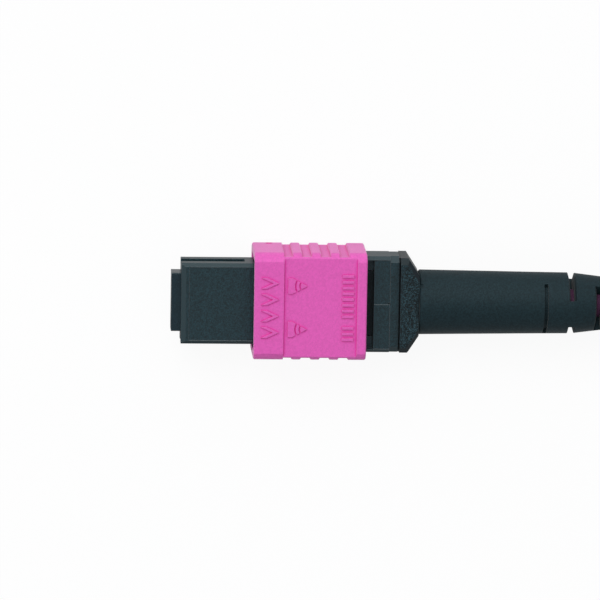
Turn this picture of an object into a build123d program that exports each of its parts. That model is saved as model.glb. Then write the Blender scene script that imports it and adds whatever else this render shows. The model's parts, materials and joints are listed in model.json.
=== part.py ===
from build123d import *
import math
import os

# Twelve-fibre push-pull connector on a round cable, lying on one broad face.
# X runs from the mating face back along the cable, Y across the wide side, Z up.
# The origin is the middle of the ferrule's end face. All sizes are millimetres.

# Clearances
fit_gap = 0.02
slide_gap = 0.07
ferrule_gap = 0.08
flange_side_gap = 0.15
spring_gap = 0.02
spring_side_gap = 0.035
pocket_spring_gap = 0.05
crimp_gap = 0.02
boot_gap = 0.03
cut_beyond = 1.0

# Fibres
fibre_count = 12
fibre_pitch = 0.25
fibre_row_gap = 0.01
glass_diameter = 0.125
bundle_gap = 0.02
bundle_layers = 3
fibre_end = 44.0
fan_start_gap = 0.4
fan_layer_run = 3.0
fibre_bend_radius = 4.0
coated_diameter = fibre_pitch - fibre_row_gap
bundle_pitch = coated_diameter + bundle_gap
bundle_height = (bundle_layers - 1) * bundle_pitch + coated_diameter
row_width = (fibre_count - 1) * fibre_pitch + coated_diameter

# Fibre slots, spring seats and spring, from the fibres outward
fibre_slot_side_gap = 0.155
fibre_slot_top_gap = 0.12
seat_boss_side_wall = 0.65
seat_boss_top_wall = 0.35
seat_boss_length = 1.0
keeper_plate = 1.2
ferrule_spring_wire = 0.45
ferrule_spring_turns = 8
spring_inner_side_gap = 0.35
spring_inner_top_gap = 0.15
spring_outer_top_gap = 0.13
fibre_slot_width = row_width + 2 * fibre_slot_side_gap
fibre_slot_height = bundle_height + 2 * fibre_slot_top_gap
seat_boss_width = fibre_slot_width + 2 * seat_boss_side_wall
seat_boss_thickness = fibre_slot_height + 2 * seat_boss_top_wall
ferrule_spring_width = seat_boss_width + 2 * (spring_inner_side_gap + ferrule_spring_wire)
ferrule_spring_thickness = seat_boss_thickness + 2 * (spring_inner_top_gap + ferrule_spring_wire)
cavity_thickness = ferrule_spring_thickness + 2 * spring_outer_top_gap

# Ferrule
ferrule_length = 8.0
ferrule_edge_break = 0.08
flange_length = 2.2
flange_side_step = 0.3
flange_top_step = 0.275
guide_hole_diameter = 0.7
guide_hole_inner_wall = 0.2
guide_hole_outer_wall = 0.55
fibre_pocket_side_gap = 0.255
fibre_pocket_roof = 0.475
fibre_tunnel_length = 3.0
filling_window_length = 1.2
filling_window_margin = 0.15
filling_window_offset = 0.3
seal_length = 3.4
fibre_pocket_width = row_width + 2 * fibre_pocket_side_gap
guide_hole_pitch = fibre_pocket_width + guide_hole_diameter + 2 * guide_hole_inner_wall
ferrule_width = guide_hole_pitch + guide_hole_diameter + 2 * guide_hole_outer_wall
flange_width = ferrule_width + 2 * flange_side_step
flange_thickness = cavity_thickness - 2 * ferrule_gap
ferrule_thickness = flange_thickness - 2 * flange_top_step
fibre_pocket_height = ferrule_thickness - 2 * fibre_pocket_roof
keeper_rear = ferrule_length + keeper_plate
fan_start = keeper_rear + seat_boss_length + fan_start_gap
fan_layers_done = fan_start + fan_layer_run

# Front housing
housing_front = 1.05
housing_side_wall = 0.78
housing_broad_wall = 0.695
housing_edge_break = 0.36
nose_lead_length = 0.55
nose_lead_depth = 0.25
nose_panel_setback = 0.87
nose_panel_margin = 0.06
nose_panel_depth = 0.07
latch_groove_width = 1.6
latch_groove_depth = 0.55
latch_groove_length = 6.69
latch_ramp_length = 0.22
catch_length = 0.94
hook_recess_length = 1.0
key_width = 2.95
key_clearance = 0.225
key_setback = 1.25
key_length = 8.2
guide_rail_width = 0.9
guide_rail_offset = 3.3
side_pocket_setback = 1.1
side_pocket_rear_wall = 0.95
side_pocket_floor = 0.33
cavity_width = flange_width + 2 * flange_side_gap
housing_width = cavity_width + 2 * housing_side_wall
housing_thickness = cavity_thickness + 2 * housing_broad_wall
latch_ramp_start = housing_front + latch_groove_length
hook_front = latch_ramp_start + latch_ramp_length + catch_length
hook_rear = hook_front + hook_recess_length

# Coupling sleeve
sleeve_cover = 0.05
sleeve_length = 12.15
sleeve_latch_space = 0.52
sleeve_broad_space = 1.175
sleeve_side_wall = 0.93
sleeve_broad_wall = 0.9
sleeve_mouth_wall = 0.535
sleeve_bow_radius = 1.6
sleeve_bow_inset = 0.86
front_band_length = 3.2
rear_band_length = 1.02
panel_recess = 0.25
grip_recess = 0.36
rib_width = 1.02
rib_pitch = 2.04
rib_gap = 0.92
rear_grip_length = 1.94
rib_edge_break = 0.1
rim_break = 0.12
lug_length = 0.8
sleeve_travel = 1.75
sleeve_stop_gap = 0.05
sleeve_block_lap = 0.05
dimple_diameter = 0.8
dimple_depth = 0.2
dimple_from_front = 1.8
dimple_from_edge = 1.65
sleeve_front = hook_front - sleeve_cover
sleeve_rear = sleeve_front + sleeve_length
sleeve_inside_width = housing_width + 2 * sleeve_latch_space
sleeve_inside_thickness = housing_thickness + 2 * sleeve_broad_space
sleeve_width = sleeve_inside_width + 2 * sleeve_side_wall
sleeve_thickness = sleeve_inside_thickness + 2 * sleeve_broad_wall
key_height = sleeve_broad_space - key_clearance
sleeve_bow_rise = math.sqrt(sleeve_bow_radius**2 - (sleeve_bow_radius - sleeve_bow_inset) ** 2)
sleeve_bow_height = sleeve_thickness + 2 * (sleeve_bow_radius - sleeve_bow_rise)

# Raised marks on the broad faces of the sleeve
mark_height = 0.15
arrow_length = 2.06
arrow_half_width = 1.1
arrow_base_cut = 0.25
arrow_offset = 2.37
arrow_start = 0.45
arrow_groove_radius = 1.35
arrow_groove_width = 0.17
arrow_groove_pitch = 0.47
arrow_groove_count = 2
chevron_length = 1.9
chevron_half_width = 0.6
chevron_stroke = 0.6
chevron_count = 4
chevron_pitch = 1.8
chevron_from_front = 0.75
tick_length = 1.25
tick_width = 0.3
tick_places = 12
tick_blank_place = 8
tick_pitch = 0.63
tick_from_rear = 1.4

# Rear block of the housing, seen behind the sleeve
block_step = 0.25
block_edge_break = 0.37
window_length = 0.95
window_margin = 0.4
window_depth = 1.0
panel_length = 1.75
panel_depth = 0.12
panel_step = 0.05
panel_pit = 0.22
rim_length = 0.95
rim_edge_break = 0.62
snap_length = 0.8
snap_height = 0.25
snap_from_rear = 2.3
snap_span = 2.0
block_width = sleeve_width - 2 * (sleeve_mouth_wall + slide_gap)
block_thickness = housing_thickness - 2 * block_step
block_front = sleeve_rear - sleeve_block_lap
window_rear = block_front + window_length
panel_rear = window_rear + panel_length
housing_rear = panel_rear + rim_length
snap_front = housing_rear - snap_from_rear

# Springs that push the sleeve forward, in pockets in the housing's flanks
sleeve_spring_wire = 0.16
sleeve_spring_turns = 12
pocket_floor_y = cavity_width / 2 + side_pocket_floor
sleeve_spring_diameter = sleeve_inside_width / 2 - pocket_floor_y - 2 * spring_side_gap
side_pocket_height = sleeve_spring_diameter + 2 * pocket_spring_gap
side_pocket_front = hook_rear + side_pocket_setback
side_pocket_rear = block_front - side_pocket_rear_wall

# Rear body
collar_setback = 0.075
collar_rise = 0.9
collar_edge_break = 0.62
collar_length = 2.06
parting_gap = 0.12
parting_depth = 0.22
parting_side_depth = 0.04
shoulder_length = 1.22
shoulder_inset = 0.22
shoulder_edge_break = 0.42
ejector_mark_diameter = 1.0
ejector_mark_depth = 0.05
insert_length = 5.8
insert_slot_length = 2.2
insert_bore_lap = 1.0
fibre_bore_diameter = 1.6
window_recess_wall = 0.22
crimp_tube_wall = 1.35
crimp_tube_length = 6.22
crimp_groove_depth = 0.1
crimp_groove_width = 0.35
crimp_groove_pitch = 0.7
crimp_groove_count = 7
collar_width = block_width - 2 * collar_setback
collar_thickness = block_thickness + 2 * collar_rise
collar_front = housing_rear + parting_gap
collar_rear = collar_front + collar_length
insert_front = housing_rear - insert_length
bore_start = insert_front + insert_slot_length
fan_done = bore_start - insert_bore_lap
crimp_tube_diameter = fibre_bore_diameter + 2 * crimp_tube_wall
crimp_tube_rear = collar_rear + crimp_tube_length

# Cable jacket, yarn and crimp ring
cable_diameter = 3.0
cable_bore = 1.8
jacket_setback = 1.6
yarn_thickness = 0.15
yarn_setback = 0.52
yarn_tail = 0.8
crimp_setback = 0.32
crimp_wall = 0.26
crimp_lap = 0.4
crimp_slope_length = 0.8
crimp_neck_length = 3.6
jacket_front = crimp_tube_rear + jacket_setback
crimp_inner_radius = crimp_tube_diameter / 2 + crimp_gap + yarn_thickness + crimp_gap
crimp_neck_radius = cable_diameter / 2 + crimp_gap
crimp_body_rear = crimp_tube_rear + crimp_lap
crimp_neck_front = crimp_body_rear + crimp_slope_length
crimp_neck_rear = crimp_neck_front + crimp_neck_length

# Boot
boot_seat_gap = 0.02
boot_wall = 0.89
boot_straight_length = 11.9
boot_waist_fall = 0.16
boot_neck_length = 4.8
boot_neck_fall = 0.05
boot_tail_length = 10.7
boot_tail_wall = 0.47
boot_rim_break = 0.15
boot_notch_width = 0.38
boot_notch_depth = 0.15
boot_notch_angle = 40.0
boot_step_run = 0.6
boot_bore_radius = cable_diameter / 2 + boot_gap
boot_wide_radius = crimp_inner_radius + crimp_wall + boot_gap
boot_neck_radius = crimp_neck_radius + crimp_wall + boot_gap
boot_front_radius = boot_wide_radius + boot_wall
boot_waist_radius = boot_front_radius - boot_waist_fall
boot_taper_radius = boot_waist_radius - boot_neck_fall
boot_rear_radius = boot_bore_radius + boot_tail_wall
boot_front = collar_rear + boot_seat_gap
boot_waist = boot_front + boot_straight_length
boot_taper_start = boot_waist + boot_neck_length
boot_rear = boot_taper_start + boot_tail_length
shoulder_end_width = 2 * (boot_front_radius - shoulder_inset)

# Slots that let the boot flex: a shallow one, then pairs that turn a quarter each time
flex_setback = 1.86
flex_pitch = 2.88
flex_end_room = 1.6
flex_width = 0.52
flex_mouth = 0.82
flex_mouth_depth = 0.5
flex_span = 124.0
flex_roll = 14.6
blind_slot_width = 0.42
blind_slot_depth = 0.5
flex_first = boot_waist + flex_setback
flex_count = int((boot_rear - flex_end_room - flex_first) / flex_pitch) + 1

# Free cable: it leaves the boot, comes down and runs into a tied hank
cable_length = 1000.0
hank_fold_radius = 9.0
hank_layers = 4
hank_turns_across = 2
tie_thickness = 0.6
tie_width = 8.0
tie_corner = 1.0
hank_fold_x = 78.5
lead_run = 7.2
lead_end = 76.0
bend_share = 0.45


def block(x0, x1, y0, y1, z0, z1):
    """A box between two corners."""
    size = Box(x1 - x0, y1 - y0, z1 - z0)
    return Pos((x0 + x1) / 2, (y0 + y1) / 2, (z0 + z1) / 2) * size


def bar(x0, x1, width, thickness, edge_break=0.0):
    """A straight bar along X about the axis, with its four long edges broken."""
    shape = block(x0, x1, -width / 2, width / 2, -thickness / 2, thickness / 2)
    if edge_break > 0:
        shape = chamfer(shape.edges().filter_by(Axis.X), edge_break)
    return shape


def round_bar(x0, x1, width, thickness, corner):
    """A straight bar along X about the axis, with rounded corners."""
    shape = block(x0, x1, -width / 2, width / 2, -thickness / 2, thickness / 2)
    return fillet(shape.edges().filter_by(Axis.X), corner)


def rod(x0, x1, diameter, y=0.0, z=0.0):
    """A round rod along X."""
    return Pos((x0 + x1) / 2, y, z) * Rot(Y=90) * Cylinder(diameter / 2, x1 - x0)


def turned(points, arc=360.0):
    """The solid that a closed outline of (x, radius) points sweeps about X."""
    outline = make_face(Polyline(*[(x, r) for x, r in points], close=True))
    return revolve(outline, axis=Axis.X, revolution_arc=arc)


def both_sides(shape, plane):
    """The shape and its mirror image in the plane."""
    return shape + mirror(shape, about=plane)


def wire_along(points, radii, diameter):
    """A round wire along straight runs joined by tangent arcs."""
    path = FilletPolyline(*points, radius=radii)
    start = Plane(origin=path @ 0, z_dir=path % 0)
    return sweep(start * Circle(diameter / 2), path=path)


def coil(x0, x1, width, thickness, wire, turns, y=0.0):
    """A coil spring along X whose turns are rounded rectangles, or circles if square."""
    half_y = (width - wire) / 2
    half_z = (thickness - wire) / 2
    corners = [(1, 1), (-1, 1), (-1, -1), (1, -1)]
    steps = 4 * turns
    advance = (x1 - x0 - wire) / steps
    points = []
    for k in range(steps + 1):
        side, up = corners[k % 4]
        points.append((x0 + wire / 2 + k * advance, y + side * half_y, up * half_z))
    radius = 0.94 * min(half_y, half_z)
    return wire_along(points, [radius] * (steps - 1), wire)


def turn_angle(a, b, c):
    """How far, in degrees, a route turns at its middle point."""
    first = Vector(*b) - Vector(*a)
    second = Vector(*c) - Vector(*b)
    return first.get_angle(second)


def make_ferrule():
    """Moulded ferrule: guide holes, fibre holes, filling window and rear pocket."""
    flange_front = ferrule_length - flange_length
    front = bar(0, flange_front, ferrule_width, ferrule_thickness, ferrule_edge_break)
    flange = bar(flange_front, ferrule_length, flange_width, flange_thickness, ferrule_edge_break)
    shape = front + flange
    shape -= bar(fibre_tunnel_length, ferrule_length, fibre_pocket_width, fibre_pocket_height)
    window_front = fibre_tunnel_length + filling_window_offset
    shape -= block(
        window_front,
        window_front + filling_window_length,
        filling_window_margin - fibre_pocket_width / 2,
        fibre_pocket_width / 2 - filling_window_margin,
        -ferrule_thickness,
        0,
    )
    for side in (-1, 1):
        shape -= rod(0, ferrule_length, guide_hole_diameter, side * guide_hole_pitch / 2)
    for y in fibre_row():
        shape -= rod(0, fibre_tunnel_length, glass_diameter, y)
    return shape


def fibre_row():
    """The Y places of the fibres in the ferrule."""
    return [(k - (fibre_count - 1) / 2) * fibre_pitch for k in range(fibre_count)]


def bundle_place(k):
    """Where fibre k lies in the round bundle behind the fan."""
    column = k // bundle_layers
    columns = math.ceil(fibre_count / bundle_layers)
    y = (column - (columns - 1) / 2) * bundle_pitch
    z = (k % bundle_layers - (bundle_layers - 1) / 2) * bundle_pitch
    return y, z


def make_fibre(k):
    """One fibre: bare glass in its hole, coated behind, fanned into the bundle."""
    row_y = fibre_row()[k]
    y, z = bundle_place(k)
    route = [
        (fibre_tunnel_length, row_y, 0),
        (fan_start, row_y, 0),
        (fan_layers_done, row_y, z),
        (fan_done, y, z),
        (fibre_end, y, z),
    ]
    points = [route[0]]
    for here, after in zip(route[1:-1], route[2:]):
        if turn_angle(points[-1], here, after) > 0.01:
            points.append(here)
    points.append(route[-1])
    coated = wire_along(points, [fibre_bend_radius] * (len(points) - 2), coated_diameter)
    return rod(0, fibre_tunnel_length, glass_diameter, row_y) + coated


def make_seal():
    """Soft seal round the fibres in the ferrule's rear pocket."""
    shape = bar(
        ferrule_length - seal_length,
        ferrule_length,
        fibre_pocket_width - fit_gap,
        fibre_pocket_height - fit_gap,
    )
    slot = bar(0, ferrule_length, row_width + fit_gap, coated_diameter + fit_gap)
    return shape - slot


def make_keeper():
    """Spacer plate behind the ferrule, with a boss that centres the spring."""
    boss_rear = keeper_rear + seat_boss_length
    shape = bar(ferrule_length, keeper_rear, flange_width, flange_thickness, ferrule_edge_break)
    shape += bar(keeper_rear, boss_rear, seat_boss_width, seat_boss_thickness)
    return shape - bar(ferrule_length, boss_rear, fibre_slot_width, fibre_slot_height)


def latch_groove():
    """The groove in the upper narrow side for one latch arm, with its ramp."""
    outer = housing_width / 2
    floor = outer - latch_groove_depth
    ramp_end = latch_ramp_start + latch_ramp_length
    outline = make_face(
        Polyline(
            (housing_front - cut_beyond, floor),
            (latch_ramp_start, floor),
            (ramp_end, outer + fit_gap),
            (housing_front - cut_beyond, outer + fit_gap),
            close=True,
        )
    )
    groove = extrude(outline, amount=latch_groove_width / 2, both=True)
    hook = block(
        hook_front,
        hook_rear,
        floor,
        block_width,
        -latch_groove_width / 2,
        latch_groove_width / 2,
    )
    return groove + hook


def nose_lead():
    """The wedge that lifts off a broad face's front edge."""
    top = housing_thickness / 2
    corner = [
        (housing_front - fit_gap, top + fit_gap),
        (housing_front + nose_lead_length, top + fit_gap),
        (housing_front - fit_gap, top - nose_lead_depth),
    ]
    outline = make_face(Polyline(*corner, close=True))
    return extrude(Plane.XZ * outline, amount=housing_width, both=True)


def nose_panel():
    """The grained field of a broad face, sunk a little below its border."""
    half_width = housing_width / 2 - housing_edge_break - nose_panel_margin
    top = housing_thickness / 2
    return block(
        housing_front + nose_panel_setback,
        hook_rear,
        -half_width,
        half_width,
        top - nose_panel_depth,
        top + cut_beyond,
    )


def make_housing():
    """Front housing: nose, latch grooves, key, sleeve guides and rear block."""
    flank_width = sleeve_inside_width - 2 * slide_gap
    rail_top = sleeve_inside_thickness / 2 - slide_gap
    shape = bar(
        housing_front, window_rear, housing_width, housing_thickness, housing_edge_break
    )
    shape += bar(hook_rear, window_rear, flank_width, housing_thickness, housing_edge_break)
    shape -= both_sides(nose_panel(), Plane.XY)
    for side in (-1, 1):
        middle = side * guide_rail_offset
        shape += block(
            hook_rear,
            block_front,
            middle - guide_rail_width / 2,
            middle + guide_rail_width / 2,
            -rail_top,
            rail_top,
        )
    shape += block(
        housing_front + key_setback,
        housing_front + key_setback + key_length,
        -key_width / 2,
        key_width / 2,
        -housing_thickness / 2 - key_height,
        0,
    )
    shape -= both_sides(nose_lead(), Plane.XY)
    shape -= both_sides(latch_groove(), Plane.XZ)

    # The block behind the sleeve is thinner than the front, and wider
    above = block(
        block_front, panel_rear, -block_width, block_width, 0, sleeve_thickness
    )
    above = Pos(Z=block_thickness / 2) * above
    shape -= both_sides(above, Plane.XY)
    shape += bar(block_front, panel_rear, block_width, block_thickness, block_edge_break)
    shape += bar(panel_rear, housing_rear, block_width, block_thickness, rim_edge_break)

    # Each broad face has a window next to the sleeve and a sunk panel behind it
    window_half = block_width / 2 - window_margin
    top = block_thickness / 2
    over = top + cut_beyond
    window = block(block_front, window_rear, -window_half, window_half, top - window_depth, over)
    panel_floor = top - panel_depth
    panel = block(window_rear, panel_rear, 0, window_half, panel_floor, over)
    panel += block(window_rear, panel_rear, -window_half, 0, panel_floor + panel_step, over)
    panel += block(panel_rear - panel_pit, panel_rear, 0, panel_pit, panel_floor - panel_pit, top)
    shape -= both_sides(window + panel, Plane.XY)

    # Ferrule opening, inner cavity, snap recesses and spring pockets
    flange_front = ferrule_length - flange_length
    shape -= bar(
        0, flange_front, ferrule_width + 2 * ferrule_gap, ferrule_thickness + 2 * ferrule_gap
    )
    shape -= bar(flange_front - fit_gap, housing_rear, cavity_width, cavity_thickness)
    snap_half = cavity_width / 2 + snap_height + fit_gap
    shape -= block(
        snap_front - fit_gap,
        snap_front + snap_length + fit_gap,
        -snap_half,
        snap_half,
        -snap_span / 2 - fit_gap,
        snap_span / 2 + fit_gap,
    )
    pocket = block(
        side_pocket_front,
        side_pocket_rear,
        pocket_floor_y,
        block_width,
        -side_pocket_height / 2,
        side_pocket_height / 2,
    )
    return shape - both_sides(pocket, Plane.XZ)


def arrow(x0, y0, z0):
    """A raised triangle that points to the rear, with cut base corners and two arc grooves."""
    tip = (x0 + arrow_length, y0)
    along = arrow_base_cut * arrow_length / arrow_half_width
    base_half = arrow_half_width - arrow_base_cut
    outline = make_face(
        Polyline(
            (x0, y0 - base_half),
            (x0 + along, y0 - base_half),
            tip,
            (x0 + along, y0 + base_half),
            (x0, y0 + base_half),
            close=True,
        )
    )
    for k in range(arrow_groove_count):
        radius = arrow_groove_radius - k * arrow_groove_pitch
        outline -= Pos(*tip) * (Circle(radius) - Circle(radius - arrow_groove_width))
    return Pos(Z=z0) * extrude(outline, amount=mark_height)


def chevron(x0, y0, z0):
    """A raised chevron that points to the rear."""
    tip = x0 + chevron_length
    outline = make_face(
        Polyline(
            (x0, y0 - chevron_half_width),
            (x0 + chevron_stroke, y0 - chevron_half_width),
            (tip, y0),
            (x0 + chevron_stroke, y0 + chevron_half_width),
            (x0, y0 + chevron_half_width),
            (tip - chevron_stroke, y0),
            close=True,
        )
    )
    return Pos(Z=z0) * extrude(outline, amount=mark_height)


def band_marks():
    """The raised marks on the upper face of the front band, sunk a little into it."""
    z0 = sleeve_thickness / 2 - fit_gap
    x0 = sleeve_front + chevron_from_front
    places = [(k - (chevron_count - 1) / 2) * chevron_pitch for k in range(chevron_count)]
    return [chevron(x0, y, z0) for y in places]


def panel_marks():
    """The raised marks on the upper sunk panel, lower than the bands beside it."""
    panel_top = sleeve_thickness / 2 - panel_recess - fit_gap
    marks = []
    for side in (-1, 1):
        start = sleeve_front + front_band_length + arrow_start
        marks.append(arrow(start, side * arrow_offset, panel_top))
    tick_rear = sleeve_rear - tick_from_rear
    for k in range(tick_places):
        if k == tick_blank_place:
            continue
        y = ((tick_places - 1) / 2 - k) * tick_pitch
        marks.append(
            block(
                tick_rear - tick_length,
                tick_rear,
                y - tick_width / 2,
                y + tick_width / 2,
                panel_top,
                panel_top + mark_height,
            )
        )
    return marks


def bowed_bar(x0, x1, width, thickness):
    """A piece of the sleeve: a straight bar whose long corners follow the sleeve's bow.

    The bow runs tangent into the narrow sides and meets the broad faces at an edge.
    """
    bow = round_bar(x0, x1, sleeve_width, sleeve_bow_height, sleeve_bow_radius)
    return bar(x0, x1, width, thickness) & bow


def make_sleeve():
    """Coupling sleeve: banded tube with grip ribs, inner lugs and raised marks."""
    rear = sleeve_rear
    band_rear = sleeve_front + front_band_length
    rear_band = rear - rear_band_length
    grip_front = rear - rear_grip_length
    panel_thickness = sleeve_thickness - 2 * panel_recess
    core_width = sleeve_width - 2 * grip_recess

    front_part = bowed_bar(sleeve_front, band_rear, sleeve_width, sleeve_thickness)
    front_part = chamfer(front_part.faces().sort_by(Axis.X)[0].edges(), rim_break)
    rear_part = bowed_bar(rear_band, rear, sleeve_width, sleeve_thickness)
    rear_part = chamfer(rear_part.faces().sort_by(Axis.X)[-1].edges(), rim_break)
    shape = front_part + rear_part
    shape += bowed_bar(band_rear, rear_band, core_width, panel_thickness)
    first_rib = band_rear + rib_gap
    rib_count = round((grip_front - first_rib) / rib_pitch)
    for k in range(rib_count):
        x = first_rib + k * rib_pitch
        rib = bowed_bar(x, x + rib_width, sleeve_width, panel_thickness)
        rib = chamfer(rib.faces().sort_by(Axis.X)[0].edges(), rib_edge_break)
        rib = chamfer(rib.faces().sort_by(Axis.X)[-1].edges(), rib_edge_break)
        shape += rib
    grip = bowed_bar(grip_front, rear_band, sleeve_width, panel_thickness)
    shape += chamfer(grip.faces().sort_by(Axis.X)[0].edges(), rib_edge_break)
    for mark in band_marks():
        shape += mark
    for mark in panel_marks():
        shape += both_sides(mark, Plane.XY)

    # The mouth behind is wider, so that the sleeve can slide back over the block
    shape -= bar(sleeve_front, rear, sleeve_inside_width, sleeve_inside_thickness)
    mouth_front = block_front - sleeve_travel - sleeve_stop_gap
    mouth_width = block_width + 2 * slide_gap
    shape -= bar(mouth_front, rear, mouth_width, sleeve_inside_thickness)
    lug_front = side_pocket_front + fit_gap
    lug_half = side_pocket_height / 2 - slide_gap
    lug = block(
        lug_front,
        lug_front + lug_length,
        pocket_floor_y + slide_gap,
        (sleeve_width - sleeve_side_wall) / 2,
        -lug_half,
        lug_half,
    )
    shape += both_sides(lug, Plane.XZ)
    dimple = Cylinder(dimple_diameter / 2, 2 * dimple_depth)
    dimple_z = dimple_from_edge - sleeve_thickness / 2
    place = Pos(sleeve_front + dimple_from_front, sleeve_width / 2, dimple_z)
    return shape - place * Rot(X=90) * dimple


def make_sleeve_spring(side):
    """Return spring between a sleeve lug and the rear wall of its pocket."""
    middle = pocket_floor_y + spring_side_gap + sleeve_spring_diameter / 2
    return coil(
        side_pocket_front + fit_gap + lug_length + spring_gap,
        side_pocket_rear - spring_gap,
        sleeve_spring_diameter,
        sleeve_spring_diameter,
        sleeve_spring_wire,
        sleeve_spring_turns,
        side * middle,
    )


def make_ferrule_spring():
    """Oval spring that pushes the ferrule forward."""
    return coil(
        keeper_rear + spring_gap,
        insert_front - spring_gap,
        ferrule_spring_width,
        ferrule_spring_thickness,
        ferrule_spring_wire,
        ferrule_spring_turns,
    )


def make_rear_body():
    """Rear body: spring seat, snaps, collar with sloped shoulders and crimp tube."""
    insert_width = cavity_width - 2 * ferrule_gap
    insert_thickness = cavity_thickness - 2 * ferrule_gap
    shape = bar(
        insert_front - seat_boss_length, insert_front, seat_boss_width, seat_boss_thickness
    )
    shape += bar(insert_front, housing_rear, insert_width, insert_thickness)

    # Below the housing's windows the insert is cut down nearly to its bore
    recess_floor = fibre_bore_diameter / 2 + window_recess_wall
    recess = block(
        block_front, window_rear, -cavity_width, cavity_width, recess_floor, insert_thickness
    )
    shape -= both_sides(recess, Plane.XY)
    snap_half = cavity_width / 2 + snap_height
    shape += block(
        snap_front,
        snap_front + snap_length,
        -snap_half,
        snap_half,
        -snap_span / 2,
        snap_span / 2,
    )
    shape += bar(
        housing_rear,
        housing_rear + parting_gap,
        collar_width - 2 * parting_side_depth,
        block_thickness - 2 * parting_depth,
    )
    collar = bar(collar_front, collar_rear, collar_width, collar_thickness, collar_edge_break)
    side = collar_width / 2 + cut_beyond
    behind = collar_rear + cut_beyond
    shoulder = make_face(
        Polyline(
            (collar_rear - shoulder_length, collar_width / 2),
            (collar_rear, shoulder_end_width / 2),
            (behind, shoulder_end_width / 2),
            (behind, side),
            (collar_rear - shoulder_length, side),
            close=True,
        )
    )
    cut = extrude(shoulder, amount=collar_thickness, both=True)
    collar -= both_sides(cut, Plane.XZ)
    broad_edges = collar.faces().filter_by(Axis.Z).edges()
    slanted = broad_edges - broad_edges.filter_by(Axis.X) - broad_edges.filter_by(Axis.Y)
    collar = chamfer(slanted, shoulder_edge_break)
    mark_x = (collar_front + collar_rear) / 2
    mark = Pos(mark_x, 0, collar_thickness / 2) * Cylinder(
        ejector_mark_diameter / 2, 2 * ejector_mark_depth
    )
    shape += collar - mark
    shape += rod(collar_front, crimp_tube_rear, crimp_tube_diameter)
    for k in range(crimp_groove_count):
        x = crimp_tube_rear - (k + 1) * crimp_groove_pitch
        inner = crimp_tube_diameter / 2 - crimp_groove_depth
        shape -= turned(
            [
                (x, inner),
                (x + crimp_groove_width, inner),
                (x + crimp_groove_width, crimp_tube_diameter),
                (x, crimp_tube_diameter),
            ]
        )
    slot_front = insert_front - seat_boss_length
    shape -= bar(slot_front, bore_start, fibre_slot_width, fibre_slot_height)
    return shape - rod(bore_start - insert_bore_lap, crimp_tube_rear, fibre_bore_diameter)


def make_yarn():
    """Strength yarn: folded back over the crimp tube, gathered into the jacket."""
    inner = crimp_tube_diameter / 2 + crimp_gap
    outer = inner + yarn_thickness
    neck_outer = cable_bore / 2 - fit_gap
    neck_inner = neck_outer - yarn_thickness
    fold = crimp_tube_rear + crimp_gap
    return turned(
        [
            (collar_rear + yarn_setback, inner),
            (fold, inner),
            (jacket_front, neck_inner),
            (jacket_front + yarn_tail, neck_inner),
            (jacket_front + yarn_tail, neck_outer),
            (jacket_front, neck_outer),
            (fold + yarn_thickness, outer),
            (collar_rear + yarn_setback, outer),
        ]
    )


def make_crimp_ring():
    """Crimp ring: wide over the yarn, necked down onto the jacket."""
    crimp_front = collar_rear + crimp_setback
    wide = crimp_inner_radius
    neck = crimp_neck_radius
    return turned(
        [
            (crimp_front, wide),
            (crimp_body_rear, wide),
            (crimp_neck_front, neck),
            (crimp_neck_rear, neck),
            (crimp_neck_rear, neck + crimp_wall),
            (crimp_neck_front + crimp_wall / 2, neck + crimp_wall),
            (crimp_body_rear + crimp_wall / 2, wide + crimp_wall),
            (crimp_front, wide + crimp_wall),
        ]
    )


def boot_radius(x):
    """The boot's outer radius at a place along it."""
    stations = [
        (boot_front, boot_front_radius),
        (boot_waist, boot_waist_radius),
        (boot_taper_start, boot_taper_radius),
        (boot_rear, boot_rear_radius),
    ]
    for (x0, r0), (x1, r1) in zip(stations, stations[1:]):
        if x <= x1:
            return r0 + (r1 - r0) * (x - x0) / (x1 - x0)
    return stations[-1][1]


def blind_cut(x):
    """The first slot of the boot: shallow, with straight walls."""
    surface = boot_radius(x)
    floor = surface - blind_slot_depth
    front = x - blind_slot_width / 2
    rear = x + blind_slot_width / 2
    over = surface + cut_beyond
    return turned([(front, floor), (front, over), (rear, over), (rear, floor)], flex_span)


def flex_cut(x):
    """One slot through the boot's wall, with a flared mouth."""
    surface = boot_radius(x)
    floor = cable_diameter / 2
    throat = surface - flex_mouth_depth
    beyond = surface + flex_mouth_depth
    spread = flex_mouth - flex_width / 2
    outline = [
        (x - flex_width / 2, floor),
        (x - flex_width / 2, throat),
        (x - spread, beyond),
        (x + spread, beyond),
        (x + flex_width / 2, throat),
        (x + flex_width / 2, floor),
    ]
    return turned(outline, flex_span)


def make_boot():
    """Strain-relief boot: stepped bore, tapered tail and slots that let it flex."""
    neck_start = crimp_body_rear + boot_step_run
    neck_end = crimp_neck_rear + boot_step_run
    shape = turned(
        [
            (boot_front, boot_wide_radius),
            (neck_start, boot_wide_radius),
            (neck_start + boot_step_run, boot_neck_radius),
            (neck_end, boot_neck_radius),
            (neck_end, boot_bore_radius),
            (boot_rear, boot_bore_radius),
            (boot_rear, boot_rear_radius - boot_rim_break),
            (boot_rear - boot_rim_break, boot_radius(boot_rear - boot_rim_break)),
            (boot_taper_start, boot_taper_radius),
            (boot_waist, boot_waist_radius),
            (boot_front + boot_rim_break, boot_front_radius),
            (boot_front, boot_front_radius - boot_rim_break),
        ]
    )
    for k in range(flex_count):
        x = flex_first + k * flex_pitch
        cut = blind_cut(x) if k == 0 else flex_cut(x)
        middle = 90 + flex_roll if k % 2 == 0 else flex_roll
        for opposite in (0, 180):
            shape -= Rot(X=middle + opposite - flex_span / 2) * cut
    notch = block(
        boot_front,
        boot_front + boot_notch_width,
        -boot_notch_width / 2,
        boot_notch_width / 2,
        boot_front_radius - boot_notch_depth,
        boot_front_radius + cut_beyond,
    )
    return shape - Rot(X=-boot_notch_angle) * notch


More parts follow.
